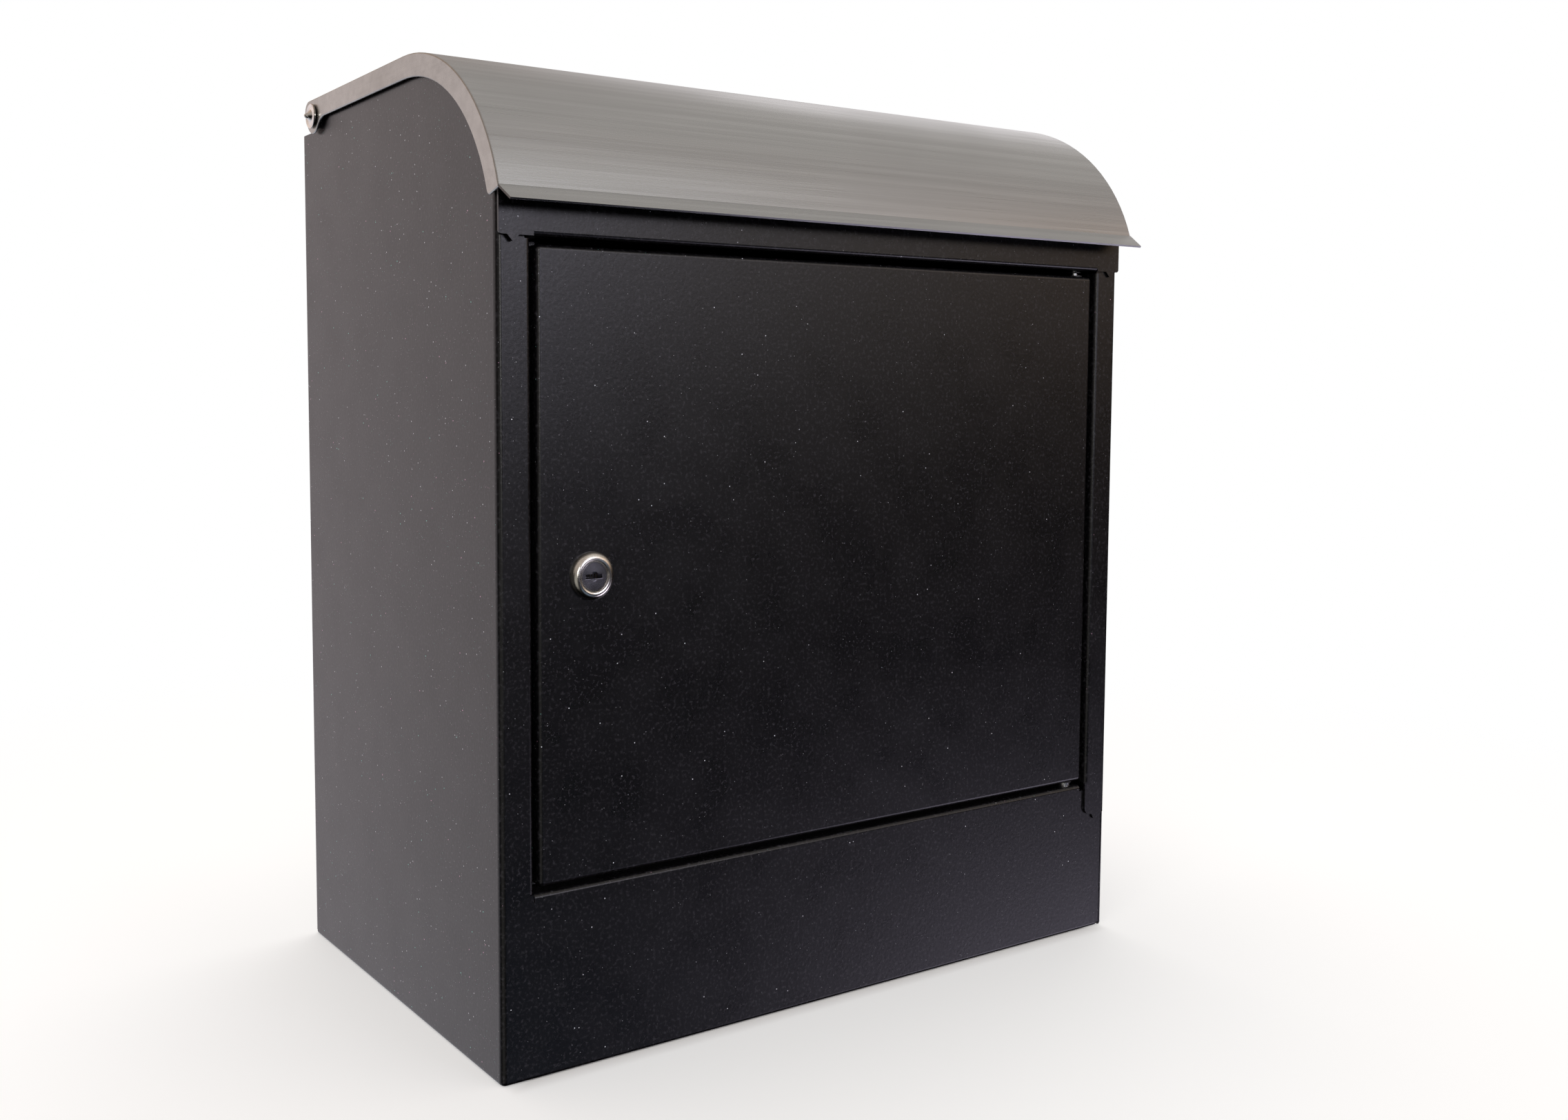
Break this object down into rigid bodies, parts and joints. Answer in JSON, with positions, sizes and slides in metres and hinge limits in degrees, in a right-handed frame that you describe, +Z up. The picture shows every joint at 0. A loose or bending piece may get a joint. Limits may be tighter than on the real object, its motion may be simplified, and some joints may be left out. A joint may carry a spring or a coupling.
{
  "type": "parcel drop box",
  "caption": "Wall-mounted steel parcel drop box with a rear-hinged curved stainless lid on top and a side-hinged locking front door.",
  "frame": {"origin": "centre of the bounding box's footprint, at the level of the cabinet's underside", "axes": "+X to the right seen from the front, the door faces -Y and the wall side is +Y, +Z up"},
  "size_m": [0.4158, 0.25, 0.4752],
  "materials": {
    "powder_coat": "fine-textured satin black powder coat with sparse metallic flecks",
    "brushed_stainless": "brushed along the width",
    "polished_steel": "turned and polished",
    "zinc_steel": "bright zinc plate",
    "black_steel": "black phosphate",
    "nickel_plate": "polished nickel",
    "plug_nickel": "flat polished nickel",
    "brass": "stamped",
    "rubber": "matt black",
    "acetal": "moulded, black"
  },
  "bodies": {
    "cabinet": {"body_wrap": "powder_coat", "right_side_panel": "powder_coat", "header_rail": "powder_coat", "back_panel": "powder_coat", "base_panel": "powder_coat", "baffle_plate": "powder_coat", "lower_hinge_pin": "zinc_steel", "upper_hinge_pin": "zinc_steel", "upper_pin_clip": "black_steel", "lid_hinge_studs": "polished_steel", "lid_hinge_nuts": "zinc_steel", "lid_buffers": "rubber"},
    "lid": {"lid_shell": "brushed_stainless", "lid_hinge_bushes": "acetal"},
    "door": {"door_panel": "powder_coat", "door_bushes": "acetal", "lock_housing": "nickel_plate", "lock_nut": "zinc_steel"},
    "lock": {"lock_plug": "plug_nickel", "lock_wafers": "brass", "wafer_springs": "brass", "lock_cam": "zinc_steel", "cam_washer": "zinc_steel", "cam_screw": "zinc_steel"}
  },
  "joints": [
    {"name": "lid_hinge", "type": "hinge", "parent": "cabinet", "child": "lid", "pos_m": [0, 0.1008, 0.466], "axis": [-1, 0, 0], "range_deg": [0, 90]},
    {"name": "door_hinge", "type": "hinge", "parent": "cabinet", "child": "door", "pos_m": [0.1725, -0.1025, 0.2344], "axis": [0, 0, 1], "range_deg": [0, 110]},
    {"name": "lock_turn", "type": "hinge", "parent": "door", "child": "lock", "pos_m": [-0.152, -0.1085, 0.2304], "axis": [0, 1, 0], "range_deg": [0, 90]}
  ]
}
